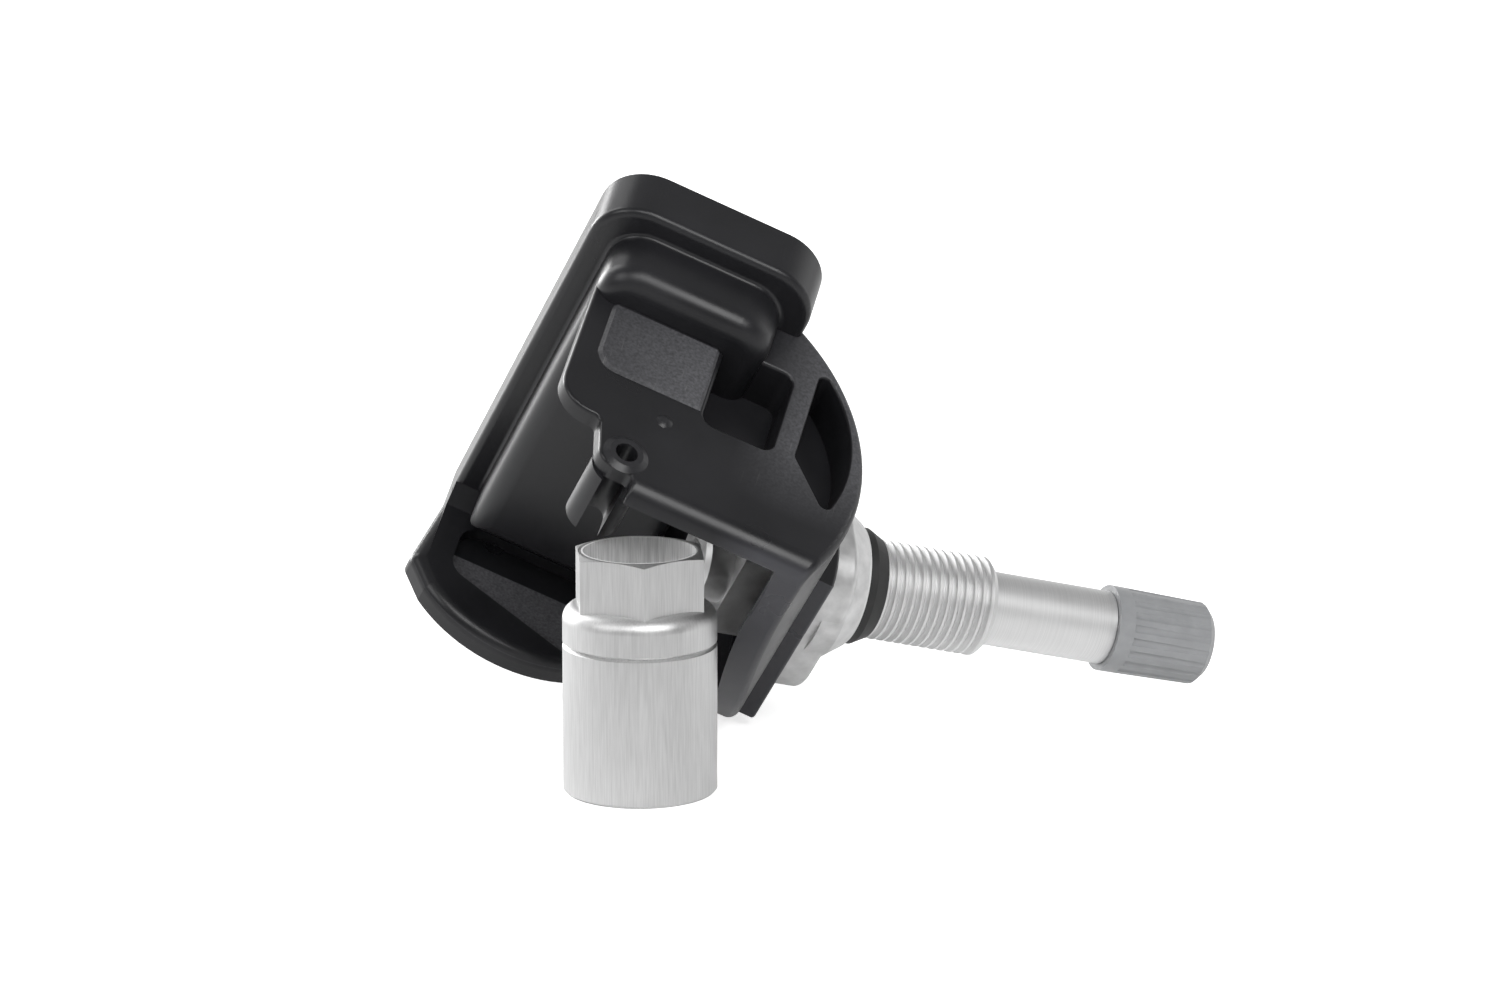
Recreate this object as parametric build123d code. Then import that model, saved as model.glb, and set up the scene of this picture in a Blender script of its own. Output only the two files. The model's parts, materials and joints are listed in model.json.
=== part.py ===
from build123d import *
import math
import os

# Tyre pressure sensor with its tilting valve stem, lying at rest beside its loose clamp nut.
# Millimetres. The housing is drawn in its own frame: x across the tray, y along it towards the
# end that points up, z out of the open block side. One placement then lays it on the floor.

# Tray: the open-backed half of the moulded housing
TRAY_WIDTH = 25.0
TRAY_LENGTH = 52.4
TRAY_DEPTH = 6.2
TRAY_CENTRE_X = -0.9
TRAY_CORNER = 5.6
TRAY_RIM_ROUNDING = 0.8
HOUSING_WALL = 1.7

# Block: the raised middle of the housing, over the battery and the board
LEDGE = 2.8
BLOCK_HEIGHT = 6.9
BLOCK_CORNER = 4.2
BLOCK_ROUNDING = 2.4
BLOCK_FOOT_ROUNDING = 0.5
BLOCK_WALL = 1.5

# Cradle: the arch that carries the stem, about an axis along the housing
PIVOT_X = -2.5
PIVOT_Z = 19.3
ARCH_OUTER = 25.3
ARCH_WALL = 2.7
ARCH_EDGE_TOP = 31.3
ARCH_EDGE_MIDDLE = 28.2
ARCH_EDGE_FAR = 8.3
ARCH_EDGE_STATION = 30.5
ARCH_EDGE_ROUNDING = 0.8
NOSE_LAND = 0.6

# Near end plate of the cradle, with its pockets
PLATE_SETBACK = 7.3
PLATE_THICKNESS = 2.0
PLATE_BODY_THICKNESS = 7.0
PLATE_BODY_TOP = 21.5
PLATE_BODY_LEFT = 1.9
PLATE_EDGE = 0.4
LOBE_X = -10.6
LOBE_Z = 22.9
LOBE_RADIUS = 4.0
NOTCH_X = -0.3
PLATE_CORNER = 0.9
HOLE_X = -1.9
HOLE_Z = 26.6
HOLE_RADIUS = 1.2
BOSS_LEFT = -5.6
BOSS_LEAN = 1.3
BOSS_CORNER = 2.2
BOSS_RADIUS = 2.5
BOSS_HEIGHT = 0.4
BOSS_TAPER = 60.0
BOSS_TUBE_RADIUS = 2.9
BOSS_TUBE_LENGTH = 7.8
DOT_X = 0.8
DOT_Z = 19.8
DOT_RADIUS = 0.9
DOT_HEIGHT = 0.3
FACET_HEIGHT = 0.4
FACET_TAPER = 45.0
FACET_LEFT = -8.2
FACET_BOTTOM = 4.0
FACET_TOP = 16.3
FACET_CORNER = 2.6
POCKET_DEPTH = 5.8
POCKET_LEFT = 4.4
POCKET_RIGHT = 12.4
POCKET_BOTTOM = 5.6
POCKET_TOP = 17.4
POCKET_CORNER = 1.4
SIDE_POCKET_LEFT = 14.9
SIDE_POCKET_BEND = 16.4
SIDE_POCKET_WALL = 1.25
SIDE_POCKET_BULGE = -22.0
SIDE_POCKET_TIP = 8.0
SIDE_POCKET_TIP_WALL = 3.0
SIDE_POCKET_CORNER = 0.7

# Far end wall
FAR_WALL = 3.0
FAR_WALL_ROUNDING = 1.4
FAR_LOBE_LEFT = -15.0
FAR_LOBE_Z = 10.7
FAR_TOP_X = -2.0
FAR_TOP_Z = 18.2
FAR_SHOULDER_X = -12.4
FAR_SHOULDER_Z = 14.1
FAR_FLANK_X = 5.3
FAR_FLANK_Z = 16.7
FAR_LOBE_CORNER = 1.5
FAR_GUSSET = 1.9
RECESS_DEPTH = 1.5
RECESS_LEFT = -10.7
RECESS_LEFT_TOP = 10.4
RECESS_RIGHT = 8.6
RECESS_RIGHT_TOP = 16.9
RECESS_CORNER = 2.4
TROUGH = 2.2

# Pad and slot on the outside of the arch, under the foot of the stem
PAD_HEIGHT = 2.1
PAD_SPAN = 41.0
PAD_EDGE = 0.4
PAD_LENGTH = 23.0
SLOT_CLEARANCE = 0.4
SEAT_CLEARANCE = 0.15

# Stem: place and tilt
STEM_STATION = 29.0
STEM_ANGLE = -19.52
STEM_TILT = 10.0

# Foot collar of the stem
COLLAR_HEIGHT = 4.7
COLLAR_FOOT_HEIGHT = 2.5
COLLAR_FOOT_LENGTH = 21.0
COLLAR_FOOT_WIDTH = 16.0
COLLAR_FOOT_CORNER = 5.5
COLLAR_FOOT_SHIFT = 1.6
COLLAR_RADIUS = 8.4
COLLAR_TOP_RADIUS = 6.9
COLLAR_FLOOR = 2.2
COLLAR_EDGE = 0.7

# Seal washer and rubber grommet
WASHER_THICKNESS = 0.3
WASHER_RADIUS = 6.6
GROMMET_HEIGHT = 2.5
GROMMET_FLANGE = 1.0
GROMMET_RADIUS = 6.3
GROMMET_TOP_RADIUS = 5.5

# Stem shaft
NECK_RADIUS = 4.6
THREAD_RADIUS = 5.4
THREAD_LENGTH = 12.4
THREAD_PITCH = 1.0
THREAD_DEPTH = 0.45
THREAD_CHAMFER = 0.6
ROD_RADIUS = 4.0
ROD_LENGTH = 14.5
TIP_RADIUS = 3.75
TIP_LENGTH = 9.0
TIP_CHAMFER = 0.5
AIR_RADIUS = 1.5
SLIP = 0.05

# Screw and saddle inside the arch
SCREW_RADIUS = 2.5
SCREW_GRIP = 7.5
SCREW_HEAD_RADIUS = 4.3
SCREW_HEAD_HEIGHT = 3.2
SCREW_HEAD_CHAMFER = 0.5
SOCKET_FLATS = 4.0
SOCKET_DEPTH = 2.0
SCREW_AIR_RADIUS = 0.8
SADDLE_LENGTH = 14.0
SADDLE_WIDTH = 9.0
SADDLE_THICKNESS = 4.6
SADDLE_CORNER = 1.5

# Valve core
CORE_LENGTH = 9.5
CORE_RADIUS = 2.4
CORE_RECESS = 0.4
CORE_SEAT_LENGTH = 1.0
CORE_CHAMBER_RADIUS = 1.5
CORE_CHAMBER_LENGTH = 4.0
CORE_GUIDE_CLEARANCE = 0.08
SEAL_RING_HEIGHT = 0.8
PIN_RADIUS = 0.55
PIN_HEAD_RADIUS = 0.95
PIN_HEAD_HEIGHT = 0.8
PIN_STAND = 1.7
PIN_TRAVEL = 1.0
CUP_RADIUS = 1.15
CUP_HEIGHT = 0.8
CUP_GAP = 0.1
SPRING_WIRE = 0.15
SPRING_TURNS = 4
SPRING_PITCH = 0.62

# Dust cap
CAP_LENGTH = 11.7
CAP_RADIUS = 4.68
CAP_END_RADIUS = 4.5
CAP_RIM_LENGTH = 0.9
CAP_CROWN = 1.3
CAP_ROUNDING = 0.8
CAP_CLEARANCE = 0.1
CAP_RIM_GAP = 0.1
CAP_SEAL_RADIUS = 3.2
CAP_SEAL_THICKNESS = 0.9
FLUTE_COUNT = 20
FLUTE_RADIUS = 0.5
FLUTE_DEPTH = 0.28

# Back cover and electronics
COVER_THICKNESS = 1.4
COVER_REBATE = 0.7
COVER_CLEARANCE = 0.1
PORT_RADIUS = 0.8
FILTER_RADIUS = 2.0
FILTER_THICKNESS = 0.3
LEDGE_THICKNESS = 1.4
BOARD_THICKNESS = 1.0
BOARD_CLEARANCE = 0.3
CELL_CLEARANCE = 0.2
CELL_END_GAP = 1.8
CELL_HEIGHT = 3.2
CELL_CHAMFER = 0.4
TAB_THICKNESS = 0.2
TAB_WIDTH = 4.0
TAB_GAP = 0.4
CHIP_SIZE = 5.0
CHIP_HEIGHT = 1.6
CHIP_STATION = 10.0
COIL_LENGTH = 12.0
COIL_SIZE = 3.2
COIL_WAIST = 0.5
COIL_FLANGE = 1.2
COIL_STATION = 9.0
CRYSTAL_LENGTH = 3.2
CRYSTAL_WIDTH = 2.5
CRYSTAL_HEIGHT = 0.8
CRYSTAL_STATION = 14.0
CAPACITOR_LENGTH = 1.6
CAPACITOR_WIDTH = 0.8
CAPACITOR_COUNT = 4
CAPACITOR_SPACING = 2.2
CAPACITOR_STATION = 18.5

# Clamp nut, standing on the floor by itself
NUT_HEIGHT = 25.3
NUT_RADIUS = 7.95
NUT_FLATS = 12.65
NUT_HEX_HEIGHT = 5.5
NUT_SHOULDER = 1.6
NUT_GROOVE_DROP = 9.4
NUT_GROOVE_WIDTH = 0.5
NUT_GROOVE_DEPTH = 0.3
NUT_MOUTH_RADIUS = 5.8
NUT_MOUTH_DEPTH = 4.0
NUT_THREAD_CLEARANCE = 0.1
NUT_EDGE = 0.3
NUT_TURN = 35.0
NUT_X = -8.7
NUT_Y = -18.4

# How the sensor lies: turns about x, y and z
LIE = (120.2, -12.35, -21.88)

# Worked-out places
TRAY_LEFT = TRAY_CENTRE_X - TRAY_WIDTH / 2
TRAY_RIGHT = TRAY_CENTRE_X + TRAY_WIDTH / 2
BLOCK_WIDTH = TRAY_WIDTH - 2 * LEDGE
BLOCK_LENGTH = TRAY_LENGTH - LEDGE - FAR_WALL - TROUGH
ARCH_INNER = ARCH_OUTER - ARCH_WALL
SEAT_RADIUS = ARCH_OUTER + PAD_HEIGHT
PIVOT = (PIVOT_X, PIVOT_Z)
ARCH_NOSE = PLATE_THICKNESS + NOSE_LAND
NOSE_START = ARCH_EDGE_TOP - ARCH_NOSE
ARCH_FOOT_X = TRAY_RIGHT - HOUSING_WALL / 2
FOOT_ANGLE = -math.degrees(math.acos((ARCH_FOOT_X - PIVOT_X) / ARCH_OUTER))
FOOT_Z = PIVOT_Z + ARCH_OUTER * math.sin(math.radians(FOOT_ANGLE))
GROMMET_START = COLLAR_HEIGHT + WASHER_THICKNESS
THREAD_START = GROMMET_START + GROMMET_HEIGHT
ROD_START = THREAD_START + THREAD_LENGTH + THREAD_CHAMFER
TIP_START = ROD_START + ROD_LENGTH
STEM_END = TIP_START + TIP_LENGTH
CELL_RADIUS = BLOCK_WIDTH / 2 - BLOCK_WALL - CELL_CLEARANCE
CELL_STATION = LEDGE + BLOCK_LENGTH - BLOCK_WALL - CELL_END_GAP - CELL_RADIUS
BOARD_TOP = -LEDGE_THICKNESS
BOARD_BOTTOM = BOARD_TOP - BOARD_THICKNESS
COVER_TOP = -TRAY_DEPTH + COVER_THICKNESS
CELL_BOTTOM = BOARD_TOP + TAB_THICKNESS
SADDLE_FACE = ARCH_INNER - SEAT_CLEARANCE - SADDLE_THICKNESS - SEAT_RADIUS
CORE_TOP = STEM_END - CORE_RECESS
CORE_BOTTOM = CORE_TOP - CORE_LENGTH

# Planes and places
ACROSS = Plane(origin=(0, 0, 0), x_dir=(1, 0, 0), z_dir=(0, -1, 0))
ALONG = Plane(origin=(0, 0, 0), x_dir=(0, 1, 0), z_dir=(1, 0, 0))
STEM_DIRECTION = Vector(1, 0, 0).rotate(Axis.Y, -STEM_ANGLE)
STEM_SEAT = Vector(PIVOT_X, -STEM_STATION, PIVOT_Z) + STEM_DIRECTION * SEAT_RADIUS
STEM_PLACE = Plane(origin=STEM_SEAT, x_dir=(0, 1, 0), z_dir=STEM_DIRECTION).location


def across(sketch, near, length):
    """Extrude a cross-section (x, z) along the housing, from a setback behind the near end."""
    return extrude(ACROSS.offset(near) * sketch, length)


def flat(sketch, bottom, top):
    """Extrude a plan (x, y) between two heights."""
    return extrude(Pos(0, 0, bottom) * sketch, top - bottom)


def plan(width, length, start, corner):
    """A plan rectangle that starts a distance behind the near end, with round near corners."""
    sheet = Pos(TRAY_CENTRE_X, -start - length / 2) * Rectangle(width, length)
    return fillet(sheet.vertices().group_by(Axis.Y)[-1], corner)


def inset(width, length, start, corner, gap):
    """The same plan rectangle, smaller by a gap all round."""
    return plan(width - 2 * gap, length - 2 * gap, start + gap, corner - gap)


def turned(points):
    """Turn a (radius, height) outline about the stem's or the nut's own axis."""
    return revolve(Plane.XZ * make_face(Polyline(*points, close=True)), Axis.Z)


def sector(inner, outer, start, end):
    """A piece of the ring about the pivot, as a cross-section, between two angles."""
    sweep_angle = end - start
    rim = CenterArc(PIVOT, outer, start, sweep_angle)
    hollow = CenterArc(PIVOT, inner, start, sweep_angle)
    sides = [Line(rim @ 0, hollow @ 0), Line(rim @ 1, hollow @ 1)]
    return make_face([rim.edge(), hollow.edge(), *[side.edge() for side in sides]])


def pivot_cylinder(radius, length):
    """A cylinder about the pivot axis, in the stem's frame."""
    return Pos(0, 0, -SEAT_RADIUS) * Rot(0, 90, 0) * Cylinder(radius, length)


def tray():
    """Tray with a round rim, and the block on it with a soft top and a small rounding at its foot."""
    body = flat(plan(TRAY_WIDTH, TRAY_LENGTH, 0, TRAY_CORNER), -TRAY_DEPTH, 0)
    rim = body.faces().sort_by(Axis.Z)[-1].edges()
    body = fillet(rim.filter_by_position(Axis.Y, -TRAY_LENGTH, 1, (False, True)), TRAY_RIM_ROUNDING)
    outline = plan(BLOCK_WIDTH, BLOCK_LENGTH, LEDGE, BLOCK_CORNER)
    block = flat(outline, 0, BLOCK_HEIGHT)
    body += fillet(block.faces().sort_by(Axis.Z)[-1].edges(), BLOCK_ROUNDING)
    foot = body.edges().filter_by_position(Axis.Z, 0, 0).filter_by_position(
        Axis.X, TRAY_LEFT + LEDGE, TRAY_RIGHT - LEDGE
    )
    return fillet(foot.filter_by_position(Axis.Y, -LEDGE - BLOCK_LENGTH, -LEDGE), BLOCK_FOOT_ROUNDING)


def plate_outline():
    """Near end plate: wavy left edge round the hole's boss, and a round right side on the arch."""
    reach = PIVOT_X + ARCH_OUTER + ARCH_WALL
    corners = [
        (LOBE_X, FOOT_Z, 0),
        (LOBE_X, LOBE_Z, LOBE_RADIUS),
        (BOSS_LEFT, LOBE_Z, PLATE_CORNER),
        (BOSS_LEFT + BOSS_LEAN, NOSE_START, BOSS_CORNER),
        (NOTCH_X, NOSE_START, PLATE_CORNER),
        (NOTCH_X, ARCH_EDGE_TOP, 0),
        (reach, ARCH_EDGE_TOP, 0),
        (reach, FOOT_Z, 0),
    ]
    points = [(x, z) for x, z, radius in corners]
    sheet = make_face(FilletPolyline(*points, radius=[corner[2] for corner in corners], close=True))
    return sheet & (Pos(*PIVOT) * Circle(ARCH_OUTER))


def side_pocket():
    """Half-round pocket between the plate's rib and the arch, with a slanted upper side."""
    outer = ARCH_OUTER - SIDE_POCKET_WALL
    tip = Vector(*PIVOT) + Vector(ARCH_OUTER - SIDE_POCKET_TIP_WALL, 0).rotate(Axis.Z, SIDE_POCKET_TIP)
    bulge = Vector(*PIVOT) + Vector(outer, 0).rotate(Axis.Z, SIDE_POCKET_BULGE)
    bottom = (SIDE_POCKET_LEFT, PIVOT_Z - math.sqrt(outer**2 - (SIDE_POCKET_LEFT - PIVOT_X) ** 2))
    curve = ThreePointArc(bottom, bulge, tip)
    sides = Polyline(tip, (SIDE_POCKET_LEFT, SIDE_POCKET_BEND), bottom)
    sheet = make_face([curve.edge(), *sides.edges()])
    return fillet(sheet.vertices(), SIDE_POCKET_CORNER)


def front_edges(body):
    return body.edges().filter_by_position(Axis.Y, -PLATE_SETBACK, -PLATE_SETBACK)


def nose():
    """What the round nose of the arch takes off the plate, right of the boss."""
    left = NOTCH_X - PLATE_CORNER
    width = PIVOT_X + ARCH_OUTER - left
    corner = Pos(left + width / 2, NOSE_START + ARCH_NOSE / 2) * Rectangle(width, ARCH_NOSE)
    return across(corner, PLATE_SETBACK, PLATE_THICKNESS) - arch_keep()


def cradle():
    """Plate and arch in one, with a thick body round the pockets, soft edges and the raised facet."""
    outline = plate_outline()
    width = PIVOT_X + ARCH_OUTER - PLATE_BODY_LEFT
    middle = Pos(PLATE_BODY_LEFT + width / 2, PLATE_BODY_TOP / 2)
    low = outline & (middle * Rectangle(width, PLATE_BODY_TOP - 2 * FOOT_Z))
    body = across(outline, PLATE_SETBACK, PLATE_THICKNESS) + across(low, PLATE_SETBACK, PLATE_BODY_THICKNESS)
    body = body - nose() + arch()
    rim = front_edges(body).filter_by(GeomType.CIRCLE).sort_by(SortBy.LENGTH)[-1]
    body = fillet(rim, ARCH_EDGE_ROUNDING) - plate_pockets()
    body = fillet(front_edges(body).filter_by_position(Axis.Z, 0, NOSE_START), PLATE_EDGE)
    return body + extrude(ACROSS.offset(PLATE_SETBACK) * facet_outline(), -FACET_HEIGHT, taper=FACET_TAPER)


def facet_outline():
    """The flat, grained face between the block and the middle of the plate."""
    right = POCKET_LEFT - PLATE_EDGE
    points = [(FACET_LEFT, FACET_BOTTOM), (FACET_LEFT, FACET_TOP), (right, FACET_TOP), (right, FACET_BOTTOM)]
    return make_face(FilletPolyline(*points, radius=[0, FACET_CORNER, 0, 0], close=True))


def plate_pockets():
    width = POCKET_RIGHT - POCKET_LEFT
    height = POCKET_TOP - POCKET_BOTTOM
    middle = Pos((POCKET_LEFT + POCKET_RIGHT) / 2, (POCKET_BOTTOM + POCKET_TOP) / 2)
    square = across(middle * RectangleRounded(width, height, POCKET_CORNER), PLATE_SETBACK, POCKET_DEPTH)
    return square + across(side_pocket(), PLATE_SETBACK, POCKET_DEPTH)


def hole_boss():
    """Boss round the plate's hole, with a tube behind it that is open on its upper side."""
    place = Pos(HOLE_X, HOLE_Z)
    ring = ACROSS.offset(PLATE_SETBACK) * place * Circle(BOSS_RADIUS)
    cone = extrude(ring, -BOSS_HEIGHT, taper=BOSS_TAPER)
    tube_start = PLATE_SETBACK + PLATE_THICKNESS
    tube = across(place * Circle(BOSS_TUBE_RADIUS), tube_start, BOSS_TUBE_LENGTH)
    opening = Pos(HOLE_X, HOLE_Z + BOSS_TUBE_RADIUS) * Rectangle(2 * HOLE_RADIUS, 2 * BOSS_TUBE_RADIUS)
    return cone + (tube - across(opening, tube_start, BOSS_TUBE_LENGTH))


def hole():
    start = PLATE_SETBACK - BOSS_HEIGHT
    length = BOSS_HEIGHT + PLATE_THICKNESS + BOSS_TUBE_LENGTH
    return across(Pos(HOLE_X, HOLE_Z) * Circle(HOLE_RADIUS), start, length)


def dot():
    ball_radius = (DOT_RADIUS**2 + DOT_HEIGHT**2) / (2 * DOT_HEIGHT)
    ball = Pos(DOT_X, -PLATE_SETBACK + DOT_HEIGHT - ball_radius, DOT_Z) * Sphere(ball_radius)
    cap = Pos(DOT_X, DOT_Z) * Circle(2 * DOT_RADIUS)
    return ball & across(cap, PLATE_SETBACK - DOT_HEIGHT, 2 * DOT_HEIGHT)


def arch_keep():
    """What stays of the arch, seen from the side: a round nose at the plate and a falling free edge."""
    front = -PLATE_SETBACK
    nose_top = (front - ARCH_NOSE, ARCH_EDGE_TOP)
    curl = RadiusArc((front, NOSE_START), nose_top, -ARCH_NOSE)
    edge = ThreePointArc(nose_top, (-ARCH_EDGE_STATION, ARCH_EDGE_MIDDLE), (-TRAY_LENGTH, ARCH_EDGE_FAR))
    foot = Polyline(edge @ 1, (-TRAY_LENGTH, FOOT_Z), (front, FOOT_Z), curl @ 0)
    sheet = make_face([curl.edge(), edge.edge(), *foot.edges()])
    return extrude(ALONG * sheet, 2 * ARCH_OUTER, both=True)


def pad():
    """Pad on the outside of the arch, which the foot of the stem slides on."""
    start = STEM_ANGLE - PAD_SPAN / 2
    sheet = sector(ARCH_INNER + ARCH_WALL / 2, SEAT_RADIUS, start, start + PAD_SPAN)
    pad_start = STEM_STATION + COLLAR_FOOT_SHIFT - PAD_LENGTH / 2
    block = across(sheet, pad_start, PAD_LENGTH)
    top = block.faces().filter_by(GeomType.CYLINDER).sort_by(SortBy.AREA)[-1]
    return fillet(top.edges(), PAD_EDGE)


def arch():
    """The curved cradle wall, cut to its free edge."""
    length = TRAY_LENGTH - PLATE_SETBACK
    top_angle = math.degrees(math.asin((ARCH_EDGE_TOP - PIVOT_Z) / ARCH_INNER))
    wall = across(sector(ARCH_INNER, ARCH_OUTER, FOOT_ANGLE, top_angle), PLATE_SETBACK, length)
    return wall & arch_keep()


def slot():
    """Slot through the arch and the pad, as long as the stem's tilt needs."""
    half_width = SCREW_RADIUS + SLOT_CLEARANCE
    half_angle = STEM_TILT + math.degrees(half_width / ARCH_INNER)
    start = STEM_ANGLE - half_angle
    sheet = sector(ARCH_INNER - ARCH_WALL, SEAT_RADIUS + PAD_HEIGHT, start, start + 2 * half_angle)
    return across(sheet, STEM_STATION - half_width, 2 * half_width)


def far_outline():
    """Far end wall: round left lobe, arched middle, and a flank that runs out to the arch."""
    flank = PIVOT_X + math.sqrt(ARCH_OUTER**2 - (PIVOT_Z - ARCH_EDGE_FAR) ** 2)
    shoulder = (FAR_SHOULDER_X, FAR_SHOULDER_Z)
    crown = ThreePointArc(shoulder, (FAR_TOP_X, FAR_TOP_Z), (FAR_FLANK_X, FAR_FLANK_Z))
    rest = Polyline(
        crown @ 1,
        (flank, ARCH_EDGE_FAR),
        (flank, FOOT_Z),
        (ARCH_FOOT_X, -TRAY_DEPTH),
        (TRAY_LEFT, -TRAY_DEPTH),
        (TRAY_LEFT, 0),
        (FAR_LOBE_LEFT, FAR_LOBE_Z),
        crown @ 0,
    )
    sheet = make_face([crown.edge(), *rest.edges()])
    left_corners = sheet.vertices().filter_by_position(Axis.X, FAR_LOBE_LEFT, FAR_LOBE_LEFT)
    sheet = fillet(left_corners, FAR_LOBE_CORNER)
    arch_side = Pos(*PIVOT) * Circle(ARCH_OUTER)
    tray_side = Pos(TRAY_CENTRE_X, -TRAY_DEPTH / 2) * Rectangle(TRAY_WIDTH, TRAY_DEPTH)
    left = Pos(FAR_LOBE_LEFT, FAR_LOBE_Z) * Rectangle(TRAY_WIDTH, 2 * FAR_TOP_Z)
    return sheet & (arch_side + tray_side + left)


def recess_outline():
    points = [
        (RECESS_LEFT, BLOCK_HEIGHT / 2),
        (RECESS_LEFT, RECESS_LEFT_TOP),
        (RECESS_RIGHT, RECESS_RIGHT_TOP),
        (RECESS_RIGHT, BLOCK_HEIGHT / 2),
    ]
    return make_face(FilletPolyline(*points, radius=RECESS_CORNER, close=True))


def far_wall():
    """Far end wall with a round front edge, a shallow recess and a gusset on each ledge."""
    start = TRAY_LENGTH - FAR_WALL
    wall = across(far_outline(), start, FAR_WALL)
    front = wall.edges().filter_by_position(Axis.Y, -start, -start)
    top = front.filter_by_position(Axis.Z, 0, FAR_TOP_Z, (False, True))
    wall = fillet(top.filter_by_position(Axis.X, FAR_LOBE_LEFT, TRAY_RIGHT), FAR_WALL_ROUNDING)
    wall -= across(recess_outline(), start, RECESS_DEPTH)
    gusset = Polyline((-start, 0), (-start + FAR_GUSSET, 0), (-start, FAR_GUSSET), close=True)
    strip = extrude(ALONG * make_face(gusset), TRAY_WIDTH)
    return wall + Pos(TRAY_LEFT, 0, 0) * strip


def hollow_inside():
    """Stepped room for the cover, the board and the parts on it."""
    mouth = inset(TRAY_WIDTH, TRAY_LENGTH, 0, TRAY_CORNER, HOUSING_WALL - COVER_REBATE)
    wide = inset(TRAY_WIDTH, TRAY_LENGTH, 0, TRAY_CORNER, HOUSING_WALL)
    narrow = inset(BLOCK_WIDTH, BLOCK_LENGTH, LEDGE, BLOCK_CORNER, BLOCK_WALL)
    room = flat(mouth, -TRAY_DEPTH, COVER_TOP) + flat(wide, COVER_TOP, BOARD_TOP)
    return room + flat(narrow, BOARD_TOP, BLOCK_HEIGHT - BLOCK_WALL)


def housing():
    body = tray() + cradle() + pad() + far_wall() + hole_boss() + dot()
    return body - hole() - slot() - hollow_inside()


def back_cover():
    sheet = inset(TRAY_WIDTH, TRAY_LENGTH, 0, TRAY_CORNER, HOUSING_WALL - COVER_REBATE + COVER_CLEARANCE)
    port = Pos(TRAY_CENTRE_X, -CHIP_STATION) * Circle(PORT_RADIUS)
    return flat(sheet - port, -TRAY_DEPTH, COVER_TOP)


def port_filter():
    sheet = Pos(TRAY_CENTRE_X, -CHIP_STATION) * Circle(FILTER_RADIUS)
    return flat(sheet, COVER_TOP, COVER_TOP + FILTER_THICKNESS)


def circuit_board():
    sheet = inset(TRAY_WIDTH, TRAY_LENGTH, 0, TRAY_CORNER, HOUSING_WALL + BOARD_CLEARANCE)
    return flat(sheet, BOARD_BOTTOM, BOARD_TOP)


def battery_cell():
    sheet = Pos(TRAY_CENTRE_X, -CELL_STATION) * Circle(CELL_RADIUS)
    disc = flat(sheet, CELL_BOTTOM, CELL_BOTTOM + CELL_HEIGHT)
    return chamfer(disc.edges().filter_by(GeomType.CIRCLE), CELL_CHAMFER)


def battery_tab_bottom():
    sheet = Pos(TRAY_CENTRE_X, -CELL_STATION) * Rectangle(TAB_WIDTH, 2 * CELL_RADIUS)
    return flat(sheet, BOARD_TOP, CELL_BOTTOM)


def battery_tab_top():
    cell_top = CELL_BOTTOM + CELL_HEIGHT
    reach = CELL_RADIUS + TAB_GAP + TAB_THICKNESS
    arm = Pos(TRAY_CENTRE_X, -CELL_STATION + reach / 2) * Rectangle(TAB_WIDTH, reach)
    leg = Pos(TRAY_CENTRE_X, -CELL_STATION + reach - TAB_THICKNESS / 2) * Rectangle(TAB_WIDTH, TAB_THICKNESS)
    return flat(arm, cell_top, cell_top + TAB_THICKNESS) + flat(leg, BOARD_TOP, cell_top)


def sensor_chip():
    sheet = Pos(TRAY_CENTRE_X, -CHIP_STATION) * Rectangle(CHIP_SIZE, CHIP_SIZE)
    return flat(sheet, BOARD_BOTTOM - CHIP_HEIGHT, BOARD_BOTTOM)


def antenna_coil():
    place = Pos(TRAY_CENTRE_X, -COIL_STATION)
    bar = place * Rectangle(COIL_LENGTH, COIL_SIZE - 2 * COIL_WAIST)
    flange_step = COIL_LENGTH / 2 - COIL_FLANGE / 2
    flanges = [place * Pos(side * flange_step, 0) * Rectangle(COIL_FLANGE, COIL_SIZE) for side in (-1, 1)]
    body = flat(bar, BOARD_TOP + COIL_WAIST, BOARD_TOP + COIL_SIZE - COIL_WAIST)
    for flange in flanges:
        body += flat(flange, BOARD_TOP, BOARD_TOP + COIL_SIZE)
    return body


def crystal():
    sheet = Pos(TRAY_CENTRE_X, -CRYSTAL_STATION) * Rectangle(CRYSTAL_LENGTH, CRYSTAL_WIDTH)
    return flat(sheet, BOARD_TOP, BOARD_TOP + CRYSTAL_HEIGHT)


def chip_capacitors():
    sheet = Rectangle(CAPACITOR_WIDTH, CAPACITOR_LENGTH)
    spots = GridLocations(CAPACITOR_SPACING, 1, CAPACITOR_COUNT, 1)
    row = Pos(TRAY_CENTRE_X, -CAPACITOR_STATION)
    return Compound([flat(row * spot * sheet, BOARD_TOP, BOARD_TOP + CAPACITOR_WIDTH) for spot in spots])


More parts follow.
